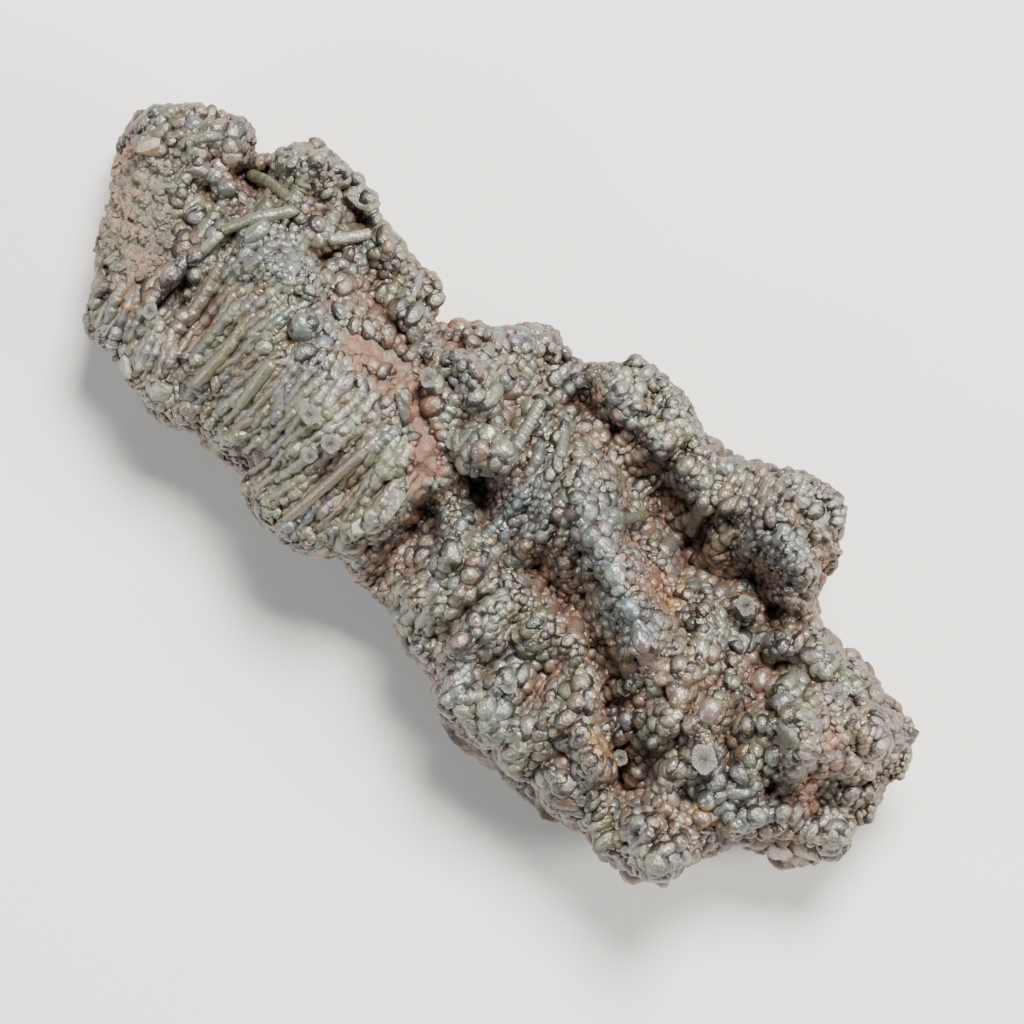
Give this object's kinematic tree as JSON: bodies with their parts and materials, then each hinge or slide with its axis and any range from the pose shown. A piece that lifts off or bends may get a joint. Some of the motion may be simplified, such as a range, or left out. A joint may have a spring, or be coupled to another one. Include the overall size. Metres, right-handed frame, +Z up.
{
  "type": "goethite specimen",
  "caption": "Elongated hand specimen of botryoidal and stalactitic goethite, lobed on top, with a flat broken back that it rests on.",
  "frame": {"origin": "middle of the piece's box, on the surface that its flat back rests on", "axes": "+X along the piece towards its blunt end, +Y across it towards the lobed edge, +Z up out of the grown face"},
  "size_m": [0.1, 0.0432, 0.025],
  "materials": {
    "crust": "grey-olive to pink-brown botryoidal iron oxide crust with a satin, partly metallic lustre"
  },
  "bodies": {
    "root": {"goethite": "crust"}
  },
  "joints": []
}
